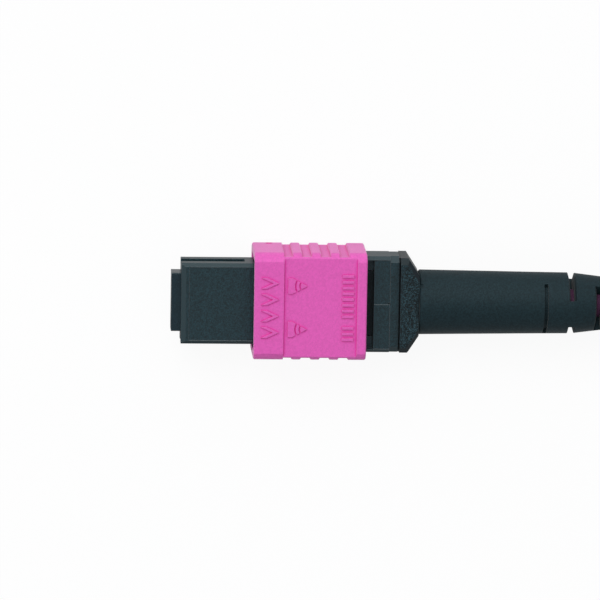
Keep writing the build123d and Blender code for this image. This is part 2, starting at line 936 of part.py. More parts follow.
def make_cable_in_boot():
    """The hollow jacket from the crimp ring to the boot's tail."""
    bore = cable_bore / 2
    outer = cable_diameter / 2
    return turned(
        [(jacket_front, bore), (boot_rear, bore), (boot_rear, outer), (jacket_front, outer)]
    )


def hank_ring(radius_inner, radius_outer, z0, z1, middle_y, rear):
    """A flat ring with straight sides and half-round ends."""
    length = rear - hank_fold_x
    middle_x = (rear + hank_fold_x) / 2
    outline = SlotCenterToCenter(length, 2 * radius_outer)
    outline -= SlotCenterToCenter(length, 2 * radius_inner)
    return Pos(middle_x, middle_y, z0) * extrude(outline, amount=z1 - z0)


def tie_band(middle_x, middle_y, width, z0, z1):
    """A flat band round one side of the hank."""
    centre = Pos(middle_x, middle_y, (z0 + z1) / 2)
    outer = Box(tie_width, width + 2 * tie_thickness, z1 - z0 + 2 * tie_thickness)
    outer = fillet(outer.edges().filter_by(Axis.X), tie_corner)
    return centre * (outer - Box(tie_width, width, z1 - z0))


def make_free_cable():
    """The lead from the boot, the hank it is folded into, and the hank's ties."""
    floor = -sleeve_thickness / 2
    hank_low = floor + tie_thickness
    first_layer = hank_low + cable_diameter / 2
    outer_fold = hank_fold_radius + (hank_turns_across - 1) * cable_diameter
    route = [
        (boot_rear, 0, 0),
        (boot_rear + lead_run, 0, 0),
        (boot_rear + 2 * lead_run, 0, first_layer),
        (lead_end, 0, first_layer),
    ]
    radii = []
    runs = [(Vector(*b) - Vector(*a)).length for a, b in zip(route, route[1:])]
    for k in range(1, len(route) - 1):
        turn = turn_angle(*route[k - 1 : k + 2])
        shorter = min(runs[k - 1], runs[k])
        radii.append(bend_share * shorter / math.tan(math.radians(turn / 2)))
    path = FilletPolyline(*route, radius=radii)
    tube = wire_along(route, radii, cable_diameter)
    section = math.pi * cable_diameter**2 / 4
    print("lead radii", [round(r, 2) for r in radii])
    print("lead volume", round(tube.volume, 3), "section times length", round(section * path.length, 3))

    # The straight sides of the hank take what the lead and the folds leave
    turns = hank_layers * hank_turns_across
    folds = sum(
        2 * math.pi * (hank_fold_radius + k * cable_diameter) for k in range(hank_turns_across)
    )
    to_hank = hank_fold_x - boot_rear
    straight = (cable_length - to_hank - hank_layers * folds) / (2 * turns)
    rear = hank_fold_x + straight
    ring = hank_ring(
        hank_fold_radius - cable_diameter / 2,
        outer_fold + cable_diameter / 2,
        hank_low,
        hank_low + hank_layers * cable_diameter,
        outer_fold,
        rear,
    )
    print("hank straight", round(straight, 3), "rear", round(rear + outer_fold, 3))
    ties = []
    for side in (-1, 1):
        middle_y = outer_fold + side * (hank_fold_radius + outer_fold) / 2
        ties.append(
            tie_band(
                (hank_fold_x + rear) / 2,
                middle_y,
                hank_turns_across * cable_diameter,
                hank_low,
                hank_low + hank_layers * cable_diameter,
            )
        )
    return {
        "cable_lead": tube - ring,
        "cable_hank": ring,
        "hank_tie_near": ties[0],
        "hank_tie_far": ties[1],
    }


nodes = {
    "ferrule": make_ferrule(),
    "ferrule_seal": make_seal(),
    "ferrule_keeper": make_keeper(),
    "ferrule_spring": make_ferrule_spring(),
    "front_housing": make_housing(),
    "coupling_sleeve": make_sleeve(),
    "sleeve_spring_left": make_sleeve_spring(1),
    "sleeve_spring_right": make_sleeve_spring(-1),
    "rear_body": make_rear_body(),
    "strength_yarn": make_yarn(),
    "crimp_ring": make_crimp_ring(),
    "boot": make_boot(),
    "cable_in_boot": make_cable_in_boot(),
}
for number in range(fibre_count):
    nodes[f"fibre_{number + 1:02d}"] = make_fibre(number)
nodes.update(make_free_cable())

os.makedirs("parts", exist_ok=True)
for name, shape in nodes.items():
    export_step(shape, f"parts/{name}.step")
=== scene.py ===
"""Looks for a push-pull multi-fibre connector: finishes, springs, free cable, camera and light.

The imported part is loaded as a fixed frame. X runs from the mating face to the rear, Y across the
wide side and Z up. The origin is the middle of the ferrule's end face, and lengths are metres.
"""

import json
import math

import bpy
import numpy as np
from bpy.props import FloatProperty, FloatVectorProperty, IntProperty, PointerProperty
from mathutils import Matrix, Vector

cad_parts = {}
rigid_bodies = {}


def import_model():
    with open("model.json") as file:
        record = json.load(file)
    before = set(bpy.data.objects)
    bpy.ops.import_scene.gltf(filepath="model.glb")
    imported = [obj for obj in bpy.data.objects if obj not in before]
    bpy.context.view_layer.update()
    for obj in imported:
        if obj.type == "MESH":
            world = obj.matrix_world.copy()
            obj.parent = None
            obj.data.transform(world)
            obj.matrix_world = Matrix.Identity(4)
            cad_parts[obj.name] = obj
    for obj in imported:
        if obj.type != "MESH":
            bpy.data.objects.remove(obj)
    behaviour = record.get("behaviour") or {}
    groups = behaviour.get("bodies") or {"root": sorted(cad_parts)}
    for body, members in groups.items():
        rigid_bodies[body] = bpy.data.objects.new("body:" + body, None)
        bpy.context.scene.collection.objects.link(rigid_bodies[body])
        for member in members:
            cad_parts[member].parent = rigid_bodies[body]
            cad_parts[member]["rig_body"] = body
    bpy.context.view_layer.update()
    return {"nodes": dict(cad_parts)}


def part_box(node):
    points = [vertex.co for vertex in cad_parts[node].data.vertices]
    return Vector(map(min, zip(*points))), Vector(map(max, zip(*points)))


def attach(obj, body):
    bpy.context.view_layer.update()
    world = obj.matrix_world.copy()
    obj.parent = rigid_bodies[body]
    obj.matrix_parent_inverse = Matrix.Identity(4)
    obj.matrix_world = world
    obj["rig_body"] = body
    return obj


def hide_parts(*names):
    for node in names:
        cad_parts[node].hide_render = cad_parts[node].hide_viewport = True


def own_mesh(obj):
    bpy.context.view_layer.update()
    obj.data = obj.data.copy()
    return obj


bl_info = {
    "name": "Push-pull fibre connector",
    "version": (1, 0, 0),
    "blender": (4, 5, 0),
    "location": "View3D > Sidebar > Connector",
    "description": "Finishes, springs, free cable, camera and light round the packed connector",
    "category": "Object",
}

MM = 0.001
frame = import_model()


# Colour and mesh helpers


def linear(hex_colour):
    """Turns an sRGB hex colour into linear red, green and blue."""
    srgb = np.array([int(hex_colour[k : k + 2], 16) for k in (1, 3, 5)]) / 255
    low = srgb / 12.92
    high = ((srgb + 0.055) / 1.055) ** 2.4
    return tuple(float(c) for c in np.where(srgb <= 0.04045, low, high))


def paint(name, text, hex_colour):
    """A colour that a user would change."""
    return FloatVectorProperty(
        name=name, description=text, subtype="COLOR", size=3, min=0, max=1, default=linear(hex_colour)
    )


def length(name, text, millimetres):
    """A length that a user would change."""
    return FloatProperty(
        name=name, description=text, unit="LENGTH", min=0, precision=6, default=millimetres * MM
    )


def power(name, text, watts):
    """A lamp's power that a user would change."""
    return FloatProperty(name=name, description=text, unit="POWER", default=watts)


def lean(name, text, degrees):
    """An angle that a user would change."""
    return FloatProperty(
        name=name, description=text, subtype="ANGLE", default=math.radians(degrees)
    )


def link(name, data):
    """A new object at the origin, in the scene's collection."""
    piece = bpy.data.objects.new(name, data)
    bpy.context.scene.collection.objects.link(piece)
    return piece


def grid_piece(name, grid, wrap_u=False, wrap_v=False, first_cap=False, last_cap=False):
    """A piece from a grid of points, rows along u and columns along v.

    Each quad joins neighbours in u and v and faces along dv x du. Wrapped directions join the
    last row or column to the first. A cap closes the first or last row with one face.
    """
    rows, columns = grid.shape[:2]
    index = np.arange(rows * columns).reshape(rows, columns)
    if wrap_u:
        index = np.concatenate([index, index[:1]], axis=0)
    if wrap_v:
        index = np.concatenate([index, index[:, :1]], axis=1)
    quads = np.stack(
        [index[:-1, :-1], index[:-1, 1:], index[1:, 1:], index[1:, :-1]], axis=-1
    ).reshape(-1, 4)
    faces = quads.tolist()
    if first_cap:
        faces.append(np.arange(columns)[::-1].tolist())
    if last_cap:
        faces.append((np.arange(columns) + (rows - 1) * columns).tolist())
    mesh = bpy.data.meshes.new(name)
    mesh.from_pydata(grid.reshape(-1, 3).tolist(), [], faces)
    mesh.polygons.foreach_set("use_smooth", np.ones(len(faces), bool))
    mesh.set_sharp_from_angle(angle=math.radians(40))
    mesh.update()
    return link(name, mesh)


def once_round(sides):
    """Evenly spaced angles from 0 up to 2 pi, without the last."""
    return np.linspace(0, 2 * np.pi, sides, endpoint=False)


def tangents(path):
    """The direction of a path at each of its points, as unit vectors."""
    tangent = np.gradient(path, axis=0)
    return tangent / np.linalg.norm(tangent, axis=1, keepdims=True)


def tube_grid(path, outward, radius, sides):
    """A round tube along a path: centre + radius (cos a N + sin a B) for a from 0 to 2 pi.

    T is the path's tangent, N the outward direction with its part along T taken away, and
    B = T x N.
    """
    tangent = tangents(path)
    normal = outward - (outward * tangent).sum(axis=1, keepdims=True) * tangent
    normal /= np.linalg.norm(normal, axis=1, keepdims=True)
    across = np.cross(tangent, normal)
    angle = once_round(sides)
    return (
        path[:, None]
        + radius * np.cos(angle)[None, :, None] * normal[:, None]
        + radius * np.sin(angle)[None, :, None] * across[:, None]
    )


def turned_grid(x, radius):
    """A surface turned about X: (x, r cos a, r sin a), with r given at each angle of each row."""
    angle = once_round(radius.shape[1])
    return np.stack(
        [
            np.broadcast_to(x[:, None], radius.shape),
            radius * np.cos(angle),
            radius * np.sin(angle),
        ],
        axis=-1,
    )


# Material helpers


def node(tree, kind, inputs=None, **settings):
    """Adds a node: settings are its own properties, inputs are values or sockets that feed it."""
    new = tree.nodes.new("ShaderNode" + kind)
    for name, value in settings.items():
        setattr(new, name, value)
    for name, value in (inputs or {}).items():
        if isinstance(value, bpy.types.NodeSocket):
            tree.links.new(value, new.inputs[name])
        else:
            new.inputs[name].default_value = value
    return new


def start_material(name, colour, roughness, ior=1.5, metallic=0.0):
    """A material with one Principled shader: returns it, its tree and the shader."""
    material = bpy.data.materials.new(name)
    material.use_nodes = True
    tree = material.node_tree
    shader = tree.nodes["Principled BSDF"]
    shader.inputs["Base Color"].default_value = (*colour, 1)
    shader.inputs["Roughness"].default_value = roughness
    shader.inputs["IOR"].default_value = ior
    shader.inputs["Metallic"].default_value = metallic
    material.diffuse_color = (*colour, 1)
    return material, tree, shader


def tint(colour, share, target):
    """A colour moved part of the way to another, with its fourth channel."""
    return (*(a + (b - a) * share for a, b in zip(colour, target)), 1)


def scaled(colour, share):
    """A colour made darker or lighter by a factor, with its fourth channel."""
    return (*(min(c * share, 1.0) for c in colour), 1)


WHITE = (1.0, 1.0, 1.0)
BLACK = (0.0, 0.0, 0.0)
# The Mix node's two colour inputs and its colour output, by their numbers
FROM, TO, MIXED = 6, 7, 2
# Filled plastics reflect a little more blue than red
GLOSS_TINT = (0.8, 0.96, 1.0)
# How widely a moulded face spreads its sheen
SHEEN_ROUGHNESS = 0.35
# Moulded edges are rounded a little, in millimetres
EDGE_RADIUS = 0.07
# Cosine between the rounded and the flat face, where an edge's painted highlight starts and where it
# is palest
RIM_HIGHLIGHT_STARTS, RIM_HIGHLIGHT_FULL = 0.99, 0.85
# Cosine past which a face counts as looking straight up or down
FACING_UP = 0.95
# How open a spot is where the painted shade of a groove starts, and where it is full
RECESS_SHADE_STARTS, RECESS_SHADE_FULL = 0.95, 0.45
# Past this value a grain is as light as any
LIGHTEST_GRAIN = 0.8
# Clouds on a moulded face are this many grains wide, and even out its flecks by these shares
CLOUD_GRAINS = 20
CLOUD_MOST, CLOUD_LEAST = 0.25, -0.05
# How far the grain moves the roughness to either side
UNEVEN = 0.1


def moulded(
    name,
    colour,
    roughness,
    gloss,
    grain,
    depth,
    dark,
    light,
    edge,
    flecked=0.2,
    broad_only=False,
    recess_shade=None,
    reach=0.35,
    sheen=0.0,
):
    """Injection-moulded plastic: a spark-eroded mould leaves grain, and edges get a painted
    highlight.

    Gloss is 0.5 on a usual smooth face, and sheen is the pale bloom of a matt one. Grain is the
    spacing of the grains and depth their height, both in millimetres. Dark and light are the
    factors between which single grains vary, in random tone and, on the lightest grains, as painted
    glints; flecked is the share of grains that stay dark, and edge is how far the painted highlight
    on a rounded edge pales it towards white. With broad_only the grain lies on the faces that look
    up and down. The deeper colour given for recesses is a painted shade on grooves and openings
    that are narrower than reach, in millimetres, standing in for light thrown from wall to wall.
    """
    material, tree, shader = start_material(name, colour, roughness, ior=1.55)
    shader.inputs["Specular IOR Level"].default_value = gloss
    shader.inputs["Specular Tint"].default_value = (*GLOSS_TINT, 1)
    shader.inputs["Sheen Weight"].default_value = sheen
    shader.inputs["Sheen Roughness"].default_value = SHEEN_ROUGHNESS
    place = node(tree, "TexCoord").outputs["Object"]
    # Real grains are 0.02 to 0.06 mm wide, finer than a picture dot of 0.11 mm, so they are drawn
    # as coarse as they need to show
    per_grain = 1 / (grain * MM)
    pits = node(
        tree, "TexNoise", {"Vector": place, "Scale": per_grain, "Detail": 2.0, "Roughness": 0.6}
    ).outputs["Fac"]
    # Flecked grains: tone that differs at random, and the lightest are painted glints
    flecks_and_glints = node(tree, "TexVoronoi", {"Vector": place, "Scale": per_grain}).outputs["Color"]
    clouds = node(
        tree, "TexNoise", {"Vector": place, "Scale": per_grain / CLOUD_GRAINS, "Detail": 2.0}
    ).outputs["Fac"]
    rounded = node(tree, "Bevel", {"Radius": EDGE_RADIUS * MM}, samples=6).outputs["Normal"]
    flat = node(tree, "NewGeometry").outputs["True Normal"]
    along = node(tree, "VectorMath", {0: rounded, 1: flat}, operation="DOT_PRODUCT").outputs["Value"]
    # Painted highlight: an edge pales towards white where the rounded normal turns from the flat one
    painted_rim_highlight = node(
        tree,
        "MapRange",
        {"Value": along, "From Min": RIM_HIGHLIGHT_STARTS, "From Max": RIM_HIGHLIGHT_FULL, "To Max": edge},
    ).outputs["Result"]
    strength = 1.0
    if broad_only:
        upward = node(tree, "SeparateXYZ", {0: flat}).outputs["Z"]
        upright = node(tree, "Math", {0: upward}, operation="ABSOLUTE").outputs[0]
        strength = node(
            tree, "Math", {0: upright, 1: FACING_UP}, operation="GREATER_THAN"
        ).outputs[0]
    spread = node(
        tree, "MapRange", {"Value": flecks_and_glints, "From Min": flecked, "From Max": LIGHTEST_GRAIN}
    ).outputs["Result"]
    shade = node(
        tree,
        "Mix",
        {"Factor": spread, FROM: scaled(colour, dark), TO: scaled(colour, light)},
        data_type="RGBA",
    ).outputs[MIXED]
    grained = node(
        tree, "Mix", {"Factor": strength, FROM: (*colour, 1), TO: shade}, data_type="RGBA"
    ).outputs[MIXED]
    cloudy = node(
        tree, "MapRange", {"Value": clouds, "To Min": CLOUD_MOST, "To Max": CLOUD_LEAST}
    ).outputs["Result"]
    evened = node(
        tree, "Mix", {"Factor": cloudy, FROM: grained, TO: (*colour, 1)}, data_type="RGBA"
    ).outputs[MIXED]
    # Painted highlight laid on the rounded edges
    face = node(
        tree, "Mix", {"Factor": painted_rim_highlight, FROM: evened, TO: (*WHITE, 1)}, data_type="RGBA"
    ).outputs[MIXED]
    # Painted shade: grooves and openings narrower than reach take the deeper colour
    if recess_shade:
        open_share = node(
            tree, "AmbientOcclusion", {"Distance": reach * MM}, samples=6
        ).outputs["AO"]
        closed = node(
            tree,
            "MapRange",
            {"Value": open_share, "From Min": RECESS_SHADE_STARTS, "From Max": RECESS_SHADE_FULL},
        ).outputs["Result"]
        face = node(
            tree, "Mix", {"Factor": closed, FROM: face, TO: (*recess_shade, 1)}, data_type="RGBA"
        ).outputs[MIXED]
    tree.links.new(face, shader.inputs["Base Color"])
    uneven = node(
        tree,
        "MapRange",
        {"Value": pits, "To Min": roughness + UNEVEN, "To Max": roughness - UNEVEN},
    ).outputs["Result"]
    tree.links.new(uneven, shader.inputs["Roughness"])
    bump = node(
        tree,
        "Bump",
        {"Height": pits, "Normal": rounded, "Distance": depth * MM, "Strength": strength},
    )
    tree.links.new(bump.outputs["Normal"], shader.inputs["Normal"])
    return material


def drawn_metal(name, colour, roughness, spacing):
    """Drawn or turned metal: fine lines round the axis, laid by the die or the tool.

    Spacing is how far apart the lines are, in millimetres.
    """
    material, tree, shader = start_material(name, colour, roughness, metallic=1.0)
    place = node(tree, "TexCoord").outputs["Object"]
    stretched = node(tree, "Mapping", {"Vector": place, "Scale": (1, 0.05, 0.05)}).outputs[0]
    # Real lines are about 0.01 mm apart, so they are drawn as coarse as they need to show
    lines = node(
        tree, "TexNoise", {"Vector": stretched, "Scale": 1 / (spacing * MM), "Detail": 2.0}
    ).outputs["Fac"]
    uneven = node(
        tree, "MapRange", {"Value": lines, "To Min": roughness - 0.06, "To Max": roughness + 0.1}
    ).outputs["Result"]
    tree.links.new(uneven, shader.inputs["Roughness"])
    bump = node(tree, "Bump", {"Height": lines, "Distance": 0.004 * MM, "Strength": 0.6})
    tree.links.new(bump.outputs["Normal"], shader.inputs["Normal"])
    return material


def extruded_sheath(name, colour, roughness, ripple, gloss=0.5):
    """Extruded cable sheath: smooth, with the faint long waves that the die leaves.

    Ripple is the length of a wave, in millimetres.
    """
    material, tree, shader = start_material(name, colour, roughness, ior=1.52)
    shader.inputs["Specular IOR Level"].default_value = gloss
    place = node(tree, "TexCoord").outputs["Object"]
    waves = node(
        tree, "TexNoise", {"Vector": place, "Scale": 1 / (ripple * MM), "Detail": 3.0}
    ).outputs["Fac"]
    shade = node(
        tree,
        "Mix",
        {"Factor": waves, FROM: tint(colour, 0.12, BLACK), TO: tint(colour, 0.05, WHITE)},
        data_type="RGBA",
    ).outputs[MIXED]
    tree.links.new(shade, shader.inputs["Base Color"])
    bump = node(tree, "Bump", {"Height": waves, "Distance": 0.02 * MM, "Strength": 0.5})
    tree.links.new(bump.outputs["Normal"], shader.inputs["Normal"])
    return material


def fibrous(name, colour, spacing, stretch=(1, 1, 1), sheen=0.35, pale=0.2):
    """Yarn or woven tape: fine threads, matt, with a soft sheen from their loose ends.

    Spacing is how far apart the threads are, in millimetres, and a stretch below 1 lays them
    along that axis. Pale is how far the upper threads go towards white.
    """
    material, tree, shader = start_material(name, colour, roughness=0.8)
    shader.inputs["Sheen Weight"].default_value = sheen
    shader.inputs["Sheen Roughness"].default_value = 0.5
    place = node(tree, "TexCoord").outputs["Object"]
    laid = node(tree, "Mapping", {"Vector": place, "Scale": stretch}).outputs[0]
    # Single filaments are about 0.012 mm thick, so they are drawn as coarse as they need to show
    threads = node(
        tree, "TexNoise", {"Vector": laid, "Scale": 1 / (spacing * MM), "Detail": 4.0}
    ).outputs["Fac"]
    shade = node(
        tree,
        "Mix",
        {"Factor": threads, FROM: tint(colour, 0.45, BLACK), TO: tint(colour, pale, WHITE)},
        data_type="RGBA",
    ).outputs[MIXED]
    tree.links.new(shade, shader.inputs["Base Color"])
    bump = node(tree, "Bump", {"Height": threads, "Distance": 0.08 * MM, "Strength": 0.8})
    tree.links.new(bump.outputs["Normal"], shader.inputs["Normal"])
    return material


def coat_with(name, material):
    """Gives a CAD node's own object the material."""
    data = frame["nodes"][name].data
    data.materials.clear()
    data.materials.append(material)


def body_of_node(name):
    """The CAD body that a node rides on."""
    return frame["nodes"][name]["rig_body"]


# Sizes and colours that a user would change


class ConnectorColours(bpy.types.PropertyGroup):
    sleeve: paint("Sleeve", "Moulded coupling sleeve", "#E25CB6")
    housing: paint("Housing", "Moulded front housing and keeper", "#12272D")
    collar: paint("Collar", "Rear body, from a coarser mould face", "#0D191D")
    ferrule: paint("Ferrule", "Glass-filled ferrule", "#12242C")
    boot: paint("Boot", "Soft strain-relief boot", "#15262B")
    jacket: paint("Jacket", "Extruded cable sheath", "#933583")
    seal: paint("Seal", "Rubber seal in the ferrule", "#303338")
    yarn: paint("Yarn", "Strength yarn", "#D8B23C")
    plate: paint("Crimp metal", "Nickel-plated crimp ring", "#C9C5BC")
    steel: paint("Spring steel", "Stainless spring wire", "#C4C6C8")
    tie: paint("Tie", "Woven hook-and-loop tie", "#1B1B1E")


class ConnectorSizes(bpy.types.PropertyGroup):
    ferrule_wire: length("Ferrule spring wire", "Wire of the oval spring", 0.45)
    sleeve_wire: length("Sleeve spring wire", "Wire of the two small springs", 0.16)
    cable: length("Cable", "Diameter of the free cable", 3.0)
    cable_run: length("Cable length", "Length of the free cable from the boot", 1000.0)
    ferrule_turns: IntProperty(
        name="Ferrule spring turns", description="Active and end turns", min=3, default=9
    )
    sleeve_turns: IntProperty(
        name="Sleeve spring turns", description="Active and end turns", min=3, default=14
    )
    tie_tape: length("Tie tape", "Thickness of one layer of the ties", 0.28)
    crimp_wall: length("Crimp wall", "Wall of the crimp ring", 0.26)
    crimp_flat: length("Crimp flats", "How deep the six flats are pressed", 0.12)


class StageSettings(bpy.types.PropertyGroup):
    key: power("Key", "Power of the upper soft box", 3.6)
    side: power("Side", "Power of the left soft box", 0.5)
    low: power("Low", "Power of the low soft box on the window side", 0.8)
    sky: FloatProperty(name="Room", description="Strength of the room light", default=0.5)
    floor: paint("Floor", "Floor and backdrop", "#FAFAFA")
    distance: length("Camera distance", "From the camera to the sleeve", 591.8)
    tilt: lean("Tilt", "Camera's lean to the upper side", 10.45)
    yaw: lean("Yaw", "Camera's lean to the front", 3.11)
    roll: lean("Roll", "Camera's turn about its own axis", 0.98)


# The camera's fit to the photograph, in millimetres: the point on the part's axis that it and the
# lamps look at, how far the picture's middle lies from there, and the picture's scale
AIM = 13.9
SHIFT_RIGHT, SHIFT_UP = 0.106, 0.094
DOTS_PER_MM = 9.22
PICTURE_DOTS = 600
SENSOR = 36
# Each soft box: its place and its width, in metres
SOFT_BOXES = {
    "key": ((-0.2, 0.5, 0.7), 0.5),
    "side": ((-0.75, -0.05, 0.45), 0.45),
    "low": ((0.1, 0.85, 0.27), 0.45),
}
# The room is a little cool, and this much brighter towards the window side
ROOM_COLOUR = (0.95, 0.97, 1.0)
WINDOW_GAIN = 1.5
# How much of its light the paper throws back on the object
DIFFUSE_PAPER = 0.9
# Painted reflection: how bright the paper glows for gloss, away from the window side and on that side
PAPER_AWAY, PAPER_TOWARD = 0.2, 0.85
WINDOW_SIDE = (0.45, 0.89, 0.0)
# Close to the object the paper's glow for gloss is darkened as a painted shade, which ends between
# these distances from the object's axis, in millimetres. The object is long, so distances along it
# count less
SHADED_PAPER = 0.7
SHADE_NEAR, SHADE_FAR = 8, 60
SHADE_ALONG = (0.2, 1, 1)
# The share of the paper that glows for the eye and for gloss. The rest is lit and keeps the shadow
GLOW_SHARE = 0.92


class StageOperator(bpy.types.Operator):
    """Camera at the picture's angle, pale floor with its backdrop, soft boxes and room light"""

    bl_idname = "connector.stage"
    bl_label = "Stage"

    def execute(self, context):
        stage = context.scene.connector_stage
        context.scene.camera = self.aimed_camera(stage)
        self.lay_floor(stage)
        for name, (place, width) in SOFT_BOXES.items():
            self.soft_box(name, place, width, getattr(stage, name))
        context.scene.world = self.room(stage)
        context.scene.view_settings.view_transform = "Standard"
        return {"FINISHED"}

    def aimed_camera(self, stage):
        """A camera that leans, turns and looks as the photograph's did."""
        toward = np.array(
            [
                -math.sin(stage.yaw) * math.cos(stage.tilt),
                math.sin(stage.tilt),
                math.cos(stage.yaw) * math.cos(stage.tilt),
            ]
        )
        right = np.array([math.cos(stage.yaw), 0, math.sin(stage.yaw)])
        up = np.cross(toward, right)
        turned_right = right * math.cos(stage.roll) + up * math.sin(stage.roll)
        turned_up = -right * math.sin(stage.roll) + up * math.cos(stage.roll)
        centre = np.array([AIM * MM, 0, 0])
        centre = centre + SHIFT_RIGHT * MM * turned_right + SHIFT_UP * MM * turned_up
        lens = bpy.data.cameras.new("camera")
        lens.lens = DOTS_PER_MM * stage.distance / MM * SENSOR / PICTURE_DOTS
        lens.sensor_width = SENSOR
        lens.clip_start = 0.05
        lens.clip_end = 20
        camera = link("camera", lens)
        rows = np.eye(4)
        rows[:3, :3] = np.stack([turned_right, turned_up, toward], axis=1)
        rows[:3, 3] = centre + toward * stage.distance
        camera.matrix_world = Matrix(rows.tolist())
        return camera

    def room(self, stage):
        """Light from all round, stronger from the window side."""
        room = bpy.data.worlds.new("room")
        room.use_nodes = True
        tree = room.node_tree
        direction = node(tree, "TexCoord").outputs["Generated"]
        toward = node(
            tree, "VectorMath", {0: direction, 1: (0, 1, 0)}, operation="DOT_PRODUCT"
        ).outputs["Value"]
        strength = node(
            tree,
            "MapRange",
            {"Value": toward, "To Min": stage.sky, "To Max": WINDOW_GAIN * stage.sky},
        ).outputs["Result"]
        sky = tree.nodes["Background"]
        sky.inputs["Color"].default_value = (*ROOM_COLOUR, 1)
        tree.links.new(strength, sky.inputs["Strength"])
        return room

    def lay_floor(self, stage):
        """A dish: height is 0 to its flat radius, then rises as a quarter circle and a wall."""
        flat, sweep, wall = 2.0, 0.25, 0.1
        inner_rings = [0.001, 0.2, 0.6, 1.2]
        turn = np.linspace(0, np.pi / 2, 13)
        radius = np.concatenate([inner_rings, flat + sweep * np.sin(turn), [flat + sweep]])
        rise = sweep * (1 - np.cos(turn))
        height = np.concatenate([np.zeros(len(inner_rings)), rise, [sweep + wall]])
        angle = once_round(96)
        floor_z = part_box("coupling_sleeve")[0][2]
        dish = np.stack(
            [
                radius[:, None] * np.cos(angle),
                radius[:, None] * np.sin(angle),
                np.broadcast_to(height[:, None] + floor_z, (len(radius), len(angle))),
            ],
            axis=-1,
        )
        floor = grid_piece("floor", dish[::-1], wrap_v=True, last_cap=True)
        floor.data.materials.append(self.floor_paint(tuple(stage.floor)))

    def floor_paint(self, colour):
        """Matt white studio paper.

        The eye and clear pieces see it near white, and gloss sees it as a grey glow with a painted
        reflection that is lighter towards the window side and a painted shade close to the object.
        The part that is lit as paper keeps the shadow.
        """
        material, tree, shader = start_material("studio_paper", colour, roughness=0.95)
        light = node(tree, "LightPath").outputs
        seen = node(
            tree,
            "Math",
            {0: light["Is Camera Ray"], 1: light["Is Transmission Ray"]},
            operation="MAXIMUM",
        ).outputs[0]
        place = node(tree, "TexCoord").outputs["Object"]
        bearing = node(tree, "VectorMath", {0: place}, operation="NORMALIZE").outputs[0]
        toward = node(
            tree, "VectorMath", {0: bearing, 1: WINDOW_SIDE}, operation="DOT_PRODUCT"
        ).outputs["Value"]
        # Painted reflection: the glow for gloss is lighter towards the window side
        lit = node(
            tree,
            "MapRange",
            {"Value": toward, "From Min": -1.0, "To Min": PAPER_AWAY, "To Max": PAPER_TOWARD},
        ).outputs["Result"]
        # Painted shade: the glow for gloss is darker close to the object
        beside = node(tree, "Mapping", {"Vector": place, "Scale": SHADE_ALONG}).outputs[0]
        away = node(tree, "VectorMath", {0: beside}, operation="LENGTH").outputs["Value"]
        shade = node(
            tree,
            "MapRange",
            {
                "Value": away,
                "From Min": SHADE_NEAR * MM,
                "From Max": SHADE_FAR * MM,
                "To Min": SHADED_PAPER,
            },
        ).outputs["Result"]
        paper = node(tree, "Math", {0: lit, 1: shade}, operation="MULTIPLY").outputs[0]
        painted_gloss_glow = node(
            tree, "Math", {0: light["Is Glossy Ray"], 1: paper}, operation="MULTIPLY"
        ).outputs[0]
        strength = node(tree, "Math", {0: seen, 1: painted_gloss_glow}, operation="MAXIMUM").outputs[0]
        either = node(
            tree, "Math", {0: seen, 1: light["Is Glossy Ray"]}, operation="MAXIMUM"
        ).outputs[0]
        share = node(tree, "Math", {0: either, 1: GLOW_SHARE}, operation="MULTIPLY").outputs[0]
        around = node(
            tree,
            "Mix",
            {
                "Factor": light["Is Diffuse Ray"],
                FROM: (*colour, 1),
                TO: scaled(colour, DIFFUSE_PAPER),
            },
            data_type="RGBA",
        ).outputs[MIXED]
        tree.links.new(around, shader.inputs["Base Color"])
        glow = node(tree, "Emission", {"Color": (*WHITE, 1), "Strength": strength}).outputs[0]
        mixed = node(tree, "MixShader", {"Fac": share, 1: shader.outputs[0], 2: glow}).outputs[0]
        tree.links.new(mixed, tree.nodes["Material Output"].inputs["Surface"])
        return material

    def soft_box(self, name, place, width, watts):
        """A square lamp that faces the sleeve."""
        lamp = bpy.data.lights.new(name, "AREA")
        lamp.shape = "SQUARE"
        lamp.size = width
        lamp.energy = watts
        aim = Vector((AIM * MM, 0, 0)) - Vector(place)
        turned = aim.to_track_quat("-Z", "Y").to_matrix().to_4x4()
        link(name, lamp).matrix_world = Matrix.Translation(place) @ turned


